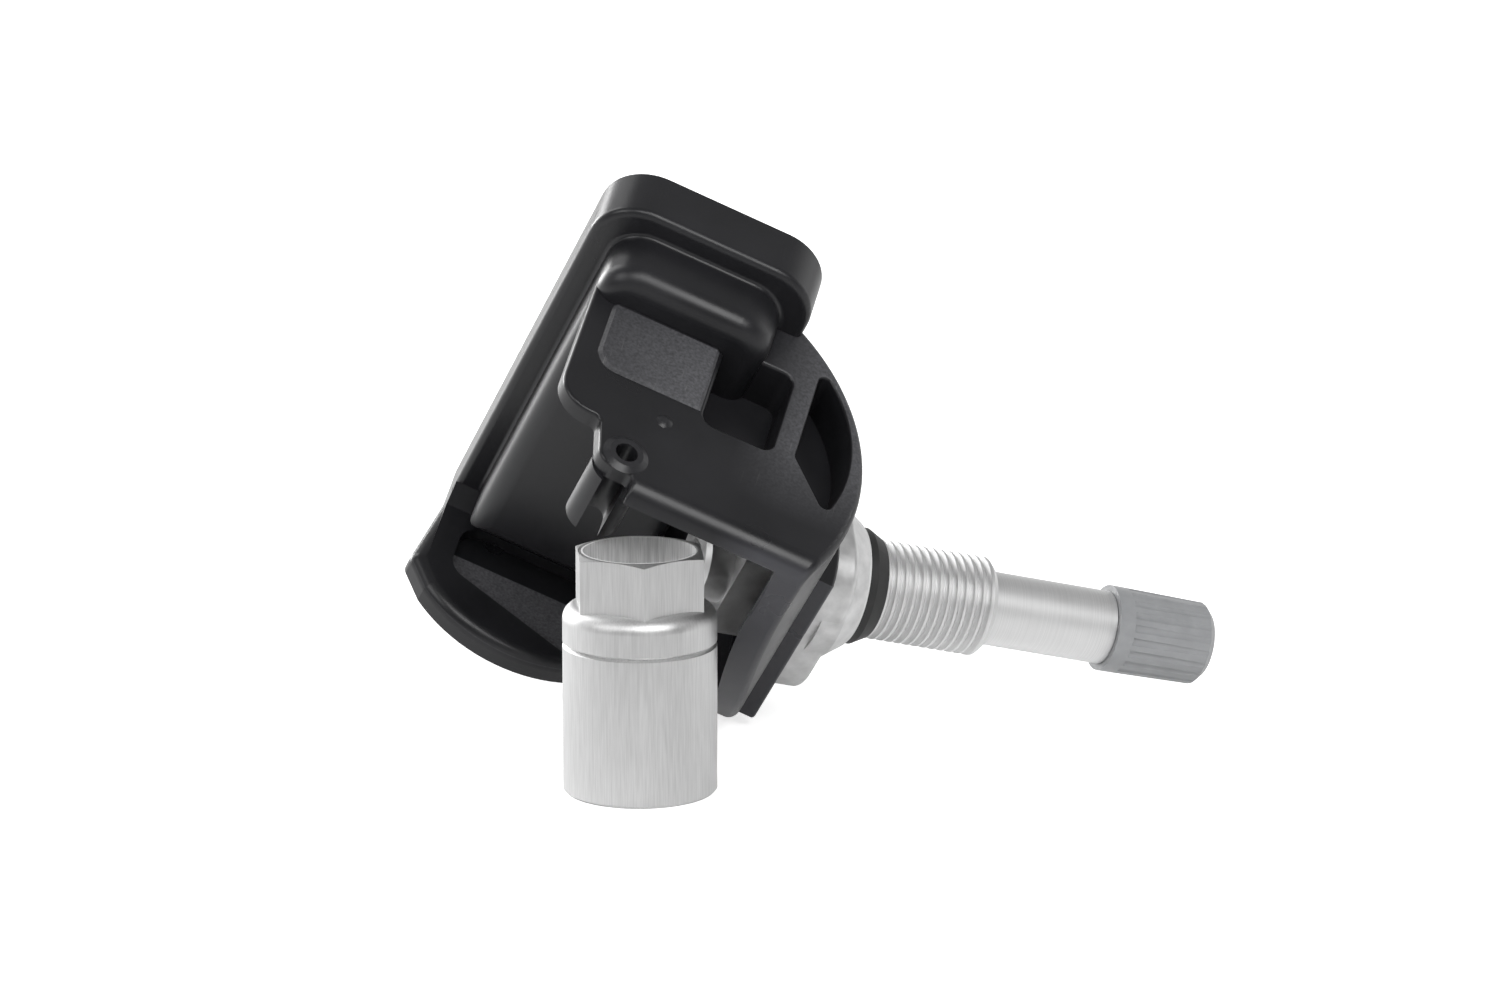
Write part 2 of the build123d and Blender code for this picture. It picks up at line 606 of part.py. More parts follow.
def stem_collar():
    foot = RectangleRounded(COLLAR_FOOT_LENGTH, COLLAR_FOOT_WIDTH, COLLAR_FOOT_CORNER)
    body = flat(Pos(-COLLAR_FOOT_SHIFT, 0) * foot, -COLLAR_HEIGHT, COLLAR_FOOT_HEIGHT)
    body = fillet(body.faces().sort_by(Axis.Z)[-1].edges(), COLLAR_EDGE)
    body += turned(
        [
            (0, 0),
            (COLLAR_RADIUS, 0),
            (COLLAR_RADIUS, COLLAR_FOOT_HEIGHT),
            (COLLAR_TOP_RADIUS, COLLAR_HEIGHT),
            (0, COLLAR_HEIGHT),
        ]
    )
    body -= pivot_cylinder(SEAT_RADIUS + SEAT_CLEARANCE, 2 * COLLAR_FOOT_LENGTH)
    body -= flat(Circle(SCREW_RADIUS + SLIP), -COLLAR_HEIGHT, COLLAR_FLOOR)
    return body - flat(Circle(NECK_RADIUS + SLIP), COLLAR_FLOOR, COLLAR_HEIGHT)


def seal_washer():
    return flat(Circle(WASHER_RADIUS) - Circle(NECK_RADIUS + SLIP), COLLAR_HEIGHT, GROMMET_START)


def grommet():
    inner = NECK_RADIUS + SLIP
    return turned(
        [
            (inner, GROMMET_START),
            (GROMMET_RADIUS, GROMMET_START),
            (GROMMET_RADIUS, GROMMET_START + GROMMET_FLANGE),
            (GROMMET_TOP_RADIUS, THREAD_START),
            (inner, THREAD_START),
        ]
    )


def thread_outline():
    """Outer outline of the rim thread: one ridge for each turn."""
    turns = int(THREAD_LENGTH / THREAD_PITCH)
    points = []
    for turn in range(turns):
        start = THREAD_START + turn * THREAD_PITCH
        points.append((THREAD_RADIUS, start))
        points.append((THREAD_RADIUS, start + THREAD_PITCH / 4))
        points.append((THREAD_RADIUS - THREAD_DEPTH, start + THREAD_PITCH * 5 / 8))
    end = THREAD_START + THREAD_LENGTH
    return [*points, (THREAD_RADIUS, THREAD_START + turns * THREAD_PITCH), (THREAD_RADIUS, end)]


def valve_stem():
    socket_end = COLLAR_FLOOR + SCREW_GRIP + SLIP
    core_radius = CORE_RADIUS + SLIP
    core_end = CORE_BOTTOM - CORE_SEAT_LENGTH
    return turned(
        [
            (SCREW_RADIUS + SLIP, COLLAR_FLOOR),
            (NECK_RADIUS, COLLAR_FLOOR),
            (NECK_RADIUS, THREAD_START),
            *thread_outline(),
            (THREAD_RADIUS - THREAD_CHAMFER, ROD_START),
            (ROD_RADIUS, ROD_START),
            (ROD_RADIUS, TIP_START),
            (TIP_RADIUS, TIP_START),
            (TIP_RADIUS, STEM_END - TIP_CHAMFER),
            (TIP_RADIUS - TIP_CHAMFER, STEM_END),
            (core_radius, STEM_END),
            (core_radius, CORE_BOTTOM),
            (AIR_RADIUS, core_end),
            (AIR_RADIUS, socket_end),
            (SCREW_RADIUS + SLIP, socket_end),
        ]
    )


def stem_screw():
    head_end = SADDLE_FACE - SCREW_HEAD_HEIGHT
    body = turned(
        [
            (SCREW_AIR_RADIUS, head_end),
            (SCREW_HEAD_RADIUS - SCREW_HEAD_CHAMFER, head_end),
            (SCREW_HEAD_RADIUS, head_end + SCREW_HEAD_CHAMFER),
            (SCREW_HEAD_RADIUS, SADDLE_FACE),
            (SCREW_RADIUS, SADDLE_FACE),
            (SCREW_RADIUS, COLLAR_FLOOR + SCREW_GRIP),
            (SCREW_AIR_RADIUS, COLLAR_FLOOR + SCREW_GRIP),
        ]
    )
    socket = RegularPolygon(SOCKET_FLATS / 2, 6, major_radius=False)
    return body - flat(socket, head_end, head_end + SOCKET_DEPTH)


def saddle():
    sheet = RectangleRounded(SADDLE_LENGTH, SADDLE_WIDTH, SADDLE_CORNER) - Circle(SCREW_RADIUS + SLIP)
    block = flat(sheet, SADDLE_FACE, SADDLE_FACE + 2 * SADDLE_THICKNESS)
    return block & pivot_cylinder(ARCH_INNER - SEAT_CLEARANCE, 2 * SADDLE_LENGTH)


def core_body():
    guide = PIN_RADIUS + CORE_GUIDE_CLEARANCE
    seal_radius = CORE_RADIUS - SEAL_RING_HEIGHT / 2
    seal_top = CORE_BOTTOM + 2 * SEAL_RING_HEIGHT
    return turned(
        [
            (guide, CORE_BOTTOM),
            (seal_radius, CORE_BOTTOM),
            (CORE_RADIUS, CORE_BOTTOM + SEAL_RING_HEIGHT / 2),
            (CORE_RADIUS, CORE_BOTTOM + SEAL_RING_HEIGHT),
            (seal_radius, CORE_BOTTOM + SEAL_RING_HEIGHT),
            (seal_radius, seal_top),
            (CORE_RADIUS, seal_top),
            (CORE_RADIUS, CORE_TOP),
            (CORE_CHAMBER_RADIUS, CORE_TOP),
            (CORE_CHAMBER_RADIUS, CORE_TOP - CORE_CHAMBER_LENGTH),
            (guide, CORE_TOP - CORE_CHAMBER_LENGTH),
        ]
    )


def core_seal():
    seal_radius = CORE_RADIUS - SEAL_RING_HEIGHT / 2
    bottom = CORE_BOTTOM + SEAL_RING_HEIGHT
    return flat(Circle(CORE_RADIUS) - Circle(seal_radius), bottom, bottom + SEAL_RING_HEIGHT)


def core_pin():
    head_bottom = CORE_TOP - PIN_STAND + PIN_TRAVEL
    return turned(
        [
            (0, CORE_BOTTOM - CUP_GAP - CUP_HEIGHT),
            (PIN_RADIUS, CORE_BOTTOM - CUP_GAP - CUP_HEIGHT),
            (PIN_RADIUS, head_bottom),
            (PIN_HEAD_RADIUS, head_bottom),
            (PIN_HEAD_RADIUS, head_bottom + PIN_HEAD_HEIGHT),
            (0, head_bottom + PIN_HEAD_HEIGHT),
        ]
    )


def core_cup():
    top = CORE_BOTTOM - CUP_GAP
    return flat(Circle(CUP_RADIUS) - Circle(PIN_RADIUS), top - CUP_HEIGHT, top)


def core_spring():
    """Open coil spring on the floor of the chamber, round the pin."""
    radius = (PIN_RADIUS + CORE_CHAMBER_RADIUS) / 2
    path = Helix(SPRING_PITCH, SPRING_PITCH * SPRING_TURNS, radius)
    coil = sweep(Plane(origin=path @ 0, z_dir=path % 0) * Circle(SPRING_WIRE), path=path, is_frenet=True)
    return Pos(0, 0, CORE_TOP - CORE_CHAMBER_LENGTH + SPRING_WIRE) * coil


def valve_cap():
    start = TIP_START + CAP_RIM_GAP
    end = start + CAP_LENGTH
    inner = TIP_RADIUS + CAP_CLEARANCE
    shell = turned(
        [
            (inner, start),
            (CAP_RADIUS, start),
            (CAP_RADIUS, start + CAP_RIM_LENGTH),
            (CAP_END_RADIUS, end - CAP_ROUNDING),
            (CAP_END_RADIUS - CAP_ROUNDING, end),
            (0, end),
            (0, end - CAP_CROWN),
            (inner, end - CAP_CROWN),
        ]
    )
    groove = Pos(CAP_RADIUS + FLUTE_RADIUS - FLUTE_DEPTH, 0) * Circle(FLUTE_RADIUS)
    for spot in PolarLocations(0, FLUTE_COUNT):
        shell -= flat(spot * groove, start + 2 * CAP_RIM_LENGTH, end)
    return shell


def cap_seal():
    top = TIP_START + CAP_RIM_GAP + CAP_LENGTH - CAP_CROWN
    return flat(Circle(CAP_SEAL_RADIUS), top - CAP_SEAL_THICKNESS, top)


def clamp_nut():
    shoulder = NUT_HEIGHT - NUT_HEX_HEIGHT
    bore = THREAD_RADIUS + NUT_THREAD_CLEARANCE
    groove_top = NUT_HEIGHT - NUT_GROOVE_DROP
    groove_bottom = groove_top - NUT_GROOVE_WIDTH
    flats = NUT_FLATS / 2
    corner = flats / math.cos(math.pi / 6)
    sleeve = turned(
        [
            (bore, 0),
            (NUT_RADIUS - NUT_EDGE, 0),
            (NUT_RADIUS, NUT_EDGE),
            (NUT_RADIUS, groove_bottom),
            (NUT_RADIUS - NUT_GROOVE_DEPTH, groove_bottom + NUT_GROOVE_WIDTH / 2),
            (NUT_RADIUS, groove_top),
            (NUT_RADIUS, shoulder),
            (bore, shoulder),
        ]
    )
    sleeve = fillet(sleeve.edges().group_by(Axis.Z)[-1].sort_by(SortBy.LENGTH)[-1], NUT_SHOULDER)
    hexagon = Rot(0, 0, NUT_TURN) * RegularPolygon(flats, 6, major_radius=False)
    head = flat(hexagon, shoulder - NUT_SHOULDER, NUT_HEIGHT)
    crown = turned(
        [
            (0, shoulder - NUT_SHOULDER),
            (corner, shoulder - NUT_SHOULDER),
            (corner, NUT_HEIGHT - NUT_EDGE),
            (flats, NUT_HEIGHT),
            (0, NUT_HEIGHT),
        ]
    )
    body = sleeve + (head & crown) - flat(Circle(bore), 0, NUT_HEIGHT)
    return body - flat(Circle(NUT_MOUTH_RADIUS), NUT_HEIGHT - NUT_MOUTH_DEPTH, NUT_HEIGHT)


BOX_PIECES = {
    "housing": housing,
    "back_cover": back_cover,
    "port_filter": port_filter,
    "circuit_board": circuit_board,
    "battery_cell": battery_cell,
    "battery_tab_top": battery_tab_top,
    "battery_tab_bottom": battery_tab_bottom,
    "sensor_chip": sensor_chip,
    "antenna_coil": antenna_coil,
    "crystal": crystal,
    "chip_capacitors": chip_capacitors,
}
STEM_PIECES = {
    "stem_collar": stem_collar,
    "seal_washer": seal_washer,
    "grommet": grommet,
    "valve_stem": valve_stem,
    "stem_screw": stem_screw,
    "saddle": saddle,
    "core_body": core_body,
    "core_seal": core_seal,
    "core_pin": core_pin,
    "core_cup": core_cup,
    "core_spring": core_spring,
    "valve_cap": valve_cap,
    "cap_seal": cap_seal,
}


def lowest(pieces):
    return min(piece.bounding_box().min.Z for piece in pieces)


def assemble():
    """Lay the sensor on the floor, stand the nut beside it and centre the whole on the origin."""
    lie = Location((0, 0, 0), LIE)
    pieces = {name: lie * make() for name, make in BOX_PIECES.items()}
    pieces.update({name: lie * STEM_PLACE * make() for name, make in STEM_PIECES.items()})
    lift = Pos(0, 0, -lowest(pieces.values()))
    pieces = {name: lift * piece for name, piece in pieces.items()}
    pieces["clamp_nut"] = Pos(NUT_X, NUT_Y, 0) * clamp_nut()
    boxes = [piece.bounding_box() for piece in pieces.values()]
    middle_x = (min(box.min.X for box in boxes) + max(box.max.X for box in boxes)) / 2
    middle_y = (min(box.min.Y for box in boxes) + max(box.max.Y for box in boxes)) / 2
    centre = Pos(-middle_x, -middle_y, 0)
    frame = centre * lift * lie
    return {name: centre * piece for name, piece in pieces.items()}, frame


os.makedirs("parts", exist_ok=True)
placed, sensor_frame = assemble()
for node, piece in placed.items():
    piece.label = node
    export_step(piece, f"parts/{node}.step")

# Places on the laid part: the tilt pivot, the stem's axis and a few stations along it
pivot_place = sensor_frame * Pos(PIVOT_X, -STEM_STATION, PIVOT_Z)
stem_frame = sensor_frame * STEM_PLACE
print("nut foot", sensor_frame.position + Vector(NUT_X, NUT_Y, -sensor_frame.position.Z))
print("pivot", pivot_place.position)
print("tilt axis", Plane(pivot_place).y_dir)
print("stem axis", Plane(stem_frame).z_dir)
for label, station in (("seat", 0), ("thread start", THREAD_START), ("tip", TIP_START)):
    print(label, (stem_frame * Pos(0, 0, station)).position)
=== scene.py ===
"""Looks of the tyre pressure sensor: finishes, the valve core's spring, studio light and camera."""
import json
import math

import bpy
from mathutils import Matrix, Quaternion, Vector

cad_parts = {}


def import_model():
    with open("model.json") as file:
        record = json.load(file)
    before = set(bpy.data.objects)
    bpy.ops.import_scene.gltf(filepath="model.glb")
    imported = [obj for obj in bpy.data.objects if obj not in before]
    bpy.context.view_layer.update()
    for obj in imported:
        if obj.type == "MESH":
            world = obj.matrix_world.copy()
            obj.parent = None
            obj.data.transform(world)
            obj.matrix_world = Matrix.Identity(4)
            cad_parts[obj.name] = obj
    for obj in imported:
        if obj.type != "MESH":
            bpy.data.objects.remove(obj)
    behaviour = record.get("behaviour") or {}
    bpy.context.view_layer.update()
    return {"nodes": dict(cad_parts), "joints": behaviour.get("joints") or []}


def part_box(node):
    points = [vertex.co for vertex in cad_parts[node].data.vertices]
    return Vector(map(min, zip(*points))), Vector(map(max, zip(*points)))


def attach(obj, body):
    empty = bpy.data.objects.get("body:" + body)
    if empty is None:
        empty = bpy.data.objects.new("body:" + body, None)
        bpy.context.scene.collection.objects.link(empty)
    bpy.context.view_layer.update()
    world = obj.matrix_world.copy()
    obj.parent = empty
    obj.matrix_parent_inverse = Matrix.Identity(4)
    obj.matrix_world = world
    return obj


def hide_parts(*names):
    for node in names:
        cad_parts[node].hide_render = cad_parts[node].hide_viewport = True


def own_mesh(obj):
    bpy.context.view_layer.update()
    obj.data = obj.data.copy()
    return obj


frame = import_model()
scene = bpy.context.scene
scene.view_settings.view_transform = "Standard"

MM = 0.001
JOINTS = {joint["name"]: joint for joint in frame["joints"]}
PIVOT = Vector(JOINTS["stem_tilt"]["pos_m"])
STEM_POINT = Vector(JOINTS["cap_turn"]["pos_m"])
STEM_AXIS = Vector(JOINTS["cap_turn"]["axis"]).normalized()
NUT_LOW, NUT_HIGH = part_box("clamp_nut")
NUT_CENTRE = (NUT_LOW + NUT_HIGH) / 2

# Axes of the housing: along the tray, out of its block side, and across it
LENGTH_AXIS = Vector(JOINTS["stem_tilt"]["axis"]).normalized()
STEM_SIDE = STEM_AXIS.cross(LENGTH_AXIS)
STEM_LEAN = math.radians(19.52)
OUT_AXIS = math.cos(STEM_LEAN) * STEM_SIDE - math.sin(STEM_LEAN) * STEM_AXIS
ACROSS_AXIS = math.cos(STEM_LEAN) * STEM_AXIS + math.sin(STEM_LEAN) * STEM_SIDE

# Zones of the housing's surface, in millimetres from the pivot along those axes
PLATE_FACE = (21.6, 21.75)
FACET_OUT = (-12.2, -2.0)
FACET_ACROSS = (-6.0, 6.0)
RIB_ACROSS = (11.0, 17.0)
RIB_OUT = (6.0, -4.0)
RECESS_FLOOR = -21.2
BAND_OUT = -11.0
BAND_ACROSS = (12.0, 17.0)

# How far a zone's surface faces along an axis where the zone begins and where it is full; the recess zone
# is painted light and the band zone a painted sheen
RECESS_LIGHT_FACING = (0.3, 0.8)
BAND_SHEEN_FACING = (0.5, 0.8)

# Shares of grain in the zones; the facet's share grows across it as a painted gradient of light, and the
# rib's share is a painted sheen
FACET_GRAIN_AND_LIGHT_SHARES = (0.5, 1.0)
RAISED_SHARE = 0.1
RIB_SHEEN_SHARE = 0.75

# Black plastic: grey levels, sizes in millimetres, and roughness
PLASTIC_GLOSS = 0.4
PLASTIC_BLUE = 0.14
POLISHED_LEVELS = (0.01, 0.015)
POLISHED_ROUGHNESS = (0.27, 0.36)
# Level of the painted sheen along the edge of the arch
BAND_SHEEN_LEVEL = 0.045
# Lighter colour of the grain, which also serves as painted light on the rib, the recess and the facet's
# lighter side
GRAIN_AND_LIGHT_BLUE = 0.08
GRAIN_AND_LIGHT_LEVELS = (0.05, 0.1)
GRAINED_ROUGHNESS = 0.3
CLOUD_SIZE = 9.0
SPECK_SIZE = 0.3
GRAIN_SIZE = 0.16
GRAIN_DEPTH = 0.015
GRAIN_STRENGTH = 0.3
SCRATCH_SIZE = 0.4
SCRATCH_STRETCH = 0.07
SCRATCH_CUT = (0.66, 0.74)
SCRATCH_SHARE = 0.5
SCRATCH_LEVEL = 0.16

# Worked aluminium of the nut and the stem: grey levels, sizes in millimetres, and roughness
STREAK_SIZE = 1.0
STREAK_TONES = (0.9, 1.08)
STREAK_ROUGHNESS = 0.05
STREAK_DEPTH = 0.01
STREAK_STRENGTH = 0.5
MOTTLE_SIZE = 3.0
MOTTLE_ROUGHNESS = 0.03
NUT_LEVEL = 0.66
NUT_ROUGHNESS = 0.46
STEM_LEVEL = 0.78
STEM_ROUGHNESS = 0.5
BORE_RADIUS = 6.0
BORE_DULLNESS = 0.85
# Light colour of the bore, painted light that lifts the shade inside the nut
BORE_PAINTED_LIGHT_LEVELS = (0.6, 0.95)
BORE_ROUGHNESS = 0.3

# Streaks to a millimetre, across the nut both ways and down it, and rings to a millimetre of the stem
NUT_STREAKS = (6.0, 6.0, 0.24)
STEM_RINGS = 8.0

# Cast aluminium of the collar: grey levels, sizes in millimetres, and roughness
CAST_LEVEL = 0.72
CAST_TONES = (0.78, 1.1)
CAST_ROUGHNESS = (0.38, 0.52)
CAST_PATCH_SIZE = 2.2
CAST_PATCH_DEPTH = 0.06
CAST_PATCH_STRENGTH = 0.4
CAST_GRAIN_SIZE = 0.25
CAST_GRAIN_DEPTH = 0.02
CAST_GRAIN_STRENGTH = 0.5

# Mottle and grain of the plain finishes, with sizes in millimetres
PLAIN_CLOUD_SIZE = 2.0
PLAIN_GRAIN_SIZE = 0.3
PLAIN_GRAIN_DEPTH = 0.01
PLAIN_GRAIN_STRENGTH = 0.4
PLAIN_ROUGHNESS_SPREAD = 0.05

# Spring of the valve core
SPRING_TURNS = 5
TURN_STEPS = 24
SPRING_GAP = 0.03 * MM

# Floor and surround
FLOOR_SIZE = 8.0
FLOOR_COLOUR = (0.86, 0.86, 0.86, 1)
FLOOR_GLOW = 0.08
CAMERA_GLOW = 0.6
FRONT_FLOOR = (-0.12, -0.02)
FRONT_DIMMING = 0.4
AMBIENT = 0.42
FRONT_LEVEL = 0.12
FRONT_TO_BACK = (-0.5, 0.3)
CEILING_LEVEL = 0.36
WALL_TO_CEILING = (0.2, 0.7)
LAMP_AIM = Vector((0, 0, 0.025))

# Camera: the photograph's long lens, looking slightly down
CAMERA_FROM_PIVOT = Vector((0.01955, -0.62870, 0.14903))
CAMERA_TILT = math.radians(77)
CAMERA_LENS = 147.6
SENSOR_WIDTH = 36.0

# Range that most of a noise lies in, and the colour sockets of a mix node
NOISE_SPAN = (0.3, 0.7)
MIX_FIRST = 6
MIX_SECOND = 7
MIX_RESULT = 2


class Nodes:
    """A node tree, with short calls for the nodes used here."""

    def __init__(self, tree):
        self.tree = tree

    def add(self, kind, **settings):
        node = self.tree.nodes.new(kind)
        for key, value in settings.items():
            setattr(node, key, value)
        return node

    def link(self, start, end):
        self.tree.links.new(start, end)

    def put(self, socket, value):
        """Link an output to a socket, or set a plain value there."""
        if isinstance(value, bpy.types.NodeSocket):
            self.link(value, socket)
        else:
            socket.default_value = value

    def math(self, operation, first, second):
        node = self.add("ShaderNodeMath", operation=operation)
        self.put(node.inputs[0], first)
        self.put(node.inputs[1], second)
        return node.outputs[0]

    def ramp(self, value, span, low, high, **settings):
        """A change from one level to another as a value crosses a span."""
        node = self.add("ShaderNodeMapRange", **settings)
        self.link(value, node.inputs["Value"])
        node.inputs["From Min"].default_value = span[0]
        node.inputs["From Max"].default_value = span[1]
        node.inputs["To Min"].default_value = low
        node.inputs["To Max"].default_value = high
        return node.outputs["Result"]


class Shader(Nodes):
    """A material's nodes, before its principled shader."""

    def __init__(self, name):
        self.material = bpy.data.materials.new(name)
        self.material.use_nodes = True
        super().__init__(self.material.node_tree)
        self.surface = self.tree.nodes["Principled BSDF"]
        self.place = self.add("ShaderNodeTexCoord").outputs["Object"]

    def set(self, **values):
        """Set constants on the principled shader by socket name, with underscores for spaces."""
        for name, value in values.items():
            self.surface.inputs[name.replace("_", " ")].default_value = value

    def above(self, value, limit):
        return self.math("GREATER_THAN", value, limit)

    def below(self, value, limit):
        return self.math("LESS_THAN", value, limit)

    def larger(self, first, second):
        return self.math("MAXIMUM", first, second)

    def both(self, first, second):
        """The product of two shares."""
        return self.math("MULTIPLY", first, second)

    def vectors(self, operation, first, second):
        node = self.add("ShaderNodeVectorMath", operation=operation)
        self.link(first, node.inputs[0])
        node.inputs[1].default_value = second
        return node.outputs

    def scaled(self, place, factors):
        return self.vectors("MULTIPLY", place, factors)["Vector"]

    def along(self, point, axis):
        """Distance along an axis from a point, in millimetres."""
        offset = self.vectors("SUBTRACT", self.place, point)["Vector"]
        reach = self.vectors("DOT_PRODUCT", offset, axis)["Value"]
        return self.math("MULTIPLY", reach, 1 / MM)

    def facing(self, axis):
        """How far the surface faces along an axis, from -1 to 1."""
        normal = self.add("ShaderNodeNewGeometry").outputs["Normal"]
        return self.vectors("DOT_PRODUCT", normal, axis)["Value"]

    def noise(self, size_mm, detail=2.0, place=None):
        """Noise whose grains measure about size_mm."""
        node = self.add("ShaderNodeTexNoise")
        self.link(place or self.place, node.inputs["Vector"])
        node.inputs["Scale"].default_value = 1 / (size_mm * MM)
        node.inputs["Detail"].default_value = detail
        return node.outputs["Fac"]

    def spread(self, noise, low, high):
        """Map the middle of a noise to a range of values."""
        return self.ramp(noise, NOISE_SPAN, low, high)

    def blend(self, factor, first, second):
        """Mix two colours by a factor."""
        node = self.add("ShaderNodeMix", data_type="RGBA")
        self.link(factor, node.inputs["Factor"])
        self.put(node.inputs[MIX_FIRST], first)
        self.put(node.inputs[MIX_SECOND], second)
        return node.outputs[MIX_RESULT]

    def tint(self, noise, dark, light):
        """A colour between two, by a noise."""
        return self.blend(self.spread(noise, 0.0, 1.0), dark, light)

    def bump(self, height, depth_mm, strength, under=None):
        """A normal from a height, over another normal if one is given."""
        node = self.add("ShaderNodeBump")
        node.inputs["Strength"].default_value = strength
        node.inputs["Distance"].default_value = depth_mm * MM
        self.link(height, node.inputs["Height"])
        if under is not None:
            self.link(under, node.inputs["Normal"])
        return node.outputs["Normal"]

    def finish(self, colour, roughness, normal):
        self.link(colour, self.surface.inputs["Base Color"])
        self.link(roughness, self.surface.inputs["Roughness"])
        self.link(normal, self.surface.inputs["Normal"])
        return self.material


def grey(level, blue=0.0, red=0.0):
    """A grey, with more blue or red by a share of its level."""
    return (level * (1 + red), level, level * (1 + blue), 1)


def greys(levels, blue=0.0, red=0.0):
    """Greys of the same hue at several levels."""
    return [grey(level, blue, red) for level in levels]


def facet_grain_and_light(shader, length, out, across):
    """Grain of the raised facet on the near plate, and a little on the rest that is raised there. The
    grain is real; its growth across the facet is a painted gradient of light, lighter to one side.
    """
    raised = shader.both(shader.above(length, PLATE_FACE[1]), shader.above(out, FACET_OUT[0]))
    on_facet = shader.both(raised, shader.below(out, FACET_OUT[1]))
    facet = shader.both(on_facet, shader.ramp(across, FACET_ACROSS, *FACET_GRAIN_AND_LIGHT_SHARES))
    return shader.larger(facet, shader.both(raised, RAISED_SHARE))


def rib_painted_sheen(shader, length, out, across):
    """Painted sheen on the rib between the plate's pockets: the lighter colour of the grain, fading in
    across the rib and along the out axis.
    """
    on_plate = shader.both(shader.above(length, PLATE_FACE[0]), shader.below(length, PLATE_FACE[1]))
    beside = shader.both(on_plate, shader.ramp(across, RIB_ACROSS, 0.0, RIB_SHEEN_SHARE))
    return shader.both(beside, shader.ramp(out, RIB_OUT, 0.0, 1.0))


def recess_painted_light(shader, length, out):
    """Painted light in the recess of the far wall: its faces that face along the length get the lighter
    colour of the grain, which lifts their shade.
    """
    in_recess = shader.both(shader.below(length, RECESS_FLOOR), shader.above(out, FACET_OUT[0]))
    return shader.both(in_recess, shader.ramp(shader.facing(LENGTH_AXIS), RECESS_LIGHT_FACING, 0.0, 1.0))


def band_painted_sheen(shader, out, across):
    """Painted sheen: a lighter band, without grain, along the edge of the cradle's arch, on the faces that
    face outwards.
    """
    on_arch = shader.both(shader.above(out, BAND_OUT), shader.ramp(across, BAND_ACROSS, 0.0, 1.0))
    return shader.both(on_arch, shader.ramp(shader.facing(OUT_AXIS), BAND_SHEEN_FACING, 0.0, 1.0))


def scratches(shader, out, across):
    """Fine scratches along the out axis."""
    combine = shader.add("ShaderNodeCombineXYZ")
    shader.link(across, combine.inputs["X"])
    shader.link(shader.math("MULTIPLY", out, SCRATCH_STRETCH), combine.inputs["Y"])
    place = shader.scaled(combine.outputs["Vector"], (MM, MM, MM))
    return shader.ramp(shader.noise(SCRATCH_SIZE, place=place), SCRATCH_CUT, 0.0, SCRATCH_SHARE)


def black_plastic():
    """Moulded glass-filled plastic: nearly black and satin, with grain in some zones and painted light in
    others: a lighter band along the arch, a lighter rib and recess, and a lighter side of the facet.
    """
    shader = Shader("black_plastic")
    shader.set(Specular_IOR_Level=PLASTIC_GLOSS)
    length = shader.along(PIVOT, LENGTH_AXIS)
    out = shader.along(PIVOT, OUT_AXIS)
    across = shader.along(PIVOT, ACROSS_AXIS)
    # Real grain of the facet, with painted light: the facet's lighter side and the rib's sheen.
    grain_and_sheen = shader.larger(facet_grain_and_light(shader, length, out, across), rib_painted_sheen(shader, length, out, across))
    # The recess's share is painted light, not grain.
    grain_and_painted_light = shader.larger(grain_and_sheen, recess_painted_light(shader, length, out))
    cloud = shader.noise(CLOUD_SIZE, detail=4)
    speck = shader.noise(SPECK_SIZE, detail=3)
    polished = shader.tint(cloud, *greys(POLISHED_LEVELS, PLASTIC_BLUE))
    # Painted sheen: the band along the arch's edge gets a lighter colour than the polished plastic.
    polished_with_band_sheen = shader.blend(band_painted_sheen(shader, out, across), polished, grey(BAND_SHEEN_LEVEL, PLASTIC_BLUE))
    # Lighter colour of the grain, used also for the painted light on the rib, the recess and the facet's
    # lighter side.
    rough = shader.tint(speck, *greys(GRAIN_AND_LIGHT_LEVELS, GRAIN_AND_LIGHT_BLUE))
    marks = shader.both(grain_and_sheen, scratches(shader, out, across))
    colour = shader.blend(marks, shader.blend(grain_and_painted_light, polished_with_band_sheen, rough), grey(SCRATCH_LEVEL))
    satin = shader.spread(cloud, *POLISHED_ROUGHNESS)
    roughness = shader.math("ADD", satin, shader.both(grain_and_painted_light, GRAINED_ROUGHNESS))
    normal = shader.bump(shader.noise(GRAIN_SIZE), GRAIN_DEPTH, GRAIN_STRENGTH)
    return shader.finish(colour, roughness, normal)


def worked(shader, place, level, roughness):
    """Streaks over a stretched place with a soft mottle: the streaks, their colour and their roughness."""
    streaks = shader.noise(STREAK_SIZE, detail=4, place=place)
    mottle = shader.noise(MOTTLE_SIZE, detail=3)
    colour = shader.tint(streaks, *greys([level * tone for tone in STREAK_TONES]))
    streaked = shader.spread(streaks, roughness - STREAK_ROUGHNESS, roughness + STREAK_ROUGHNESS)
    rough = shader.math("ADD", shader.spread(mottle, -MOTTLE_ROUGHNESS, MOTTLE_ROUGHNESS), streaked)
    return streaks, colour, rough


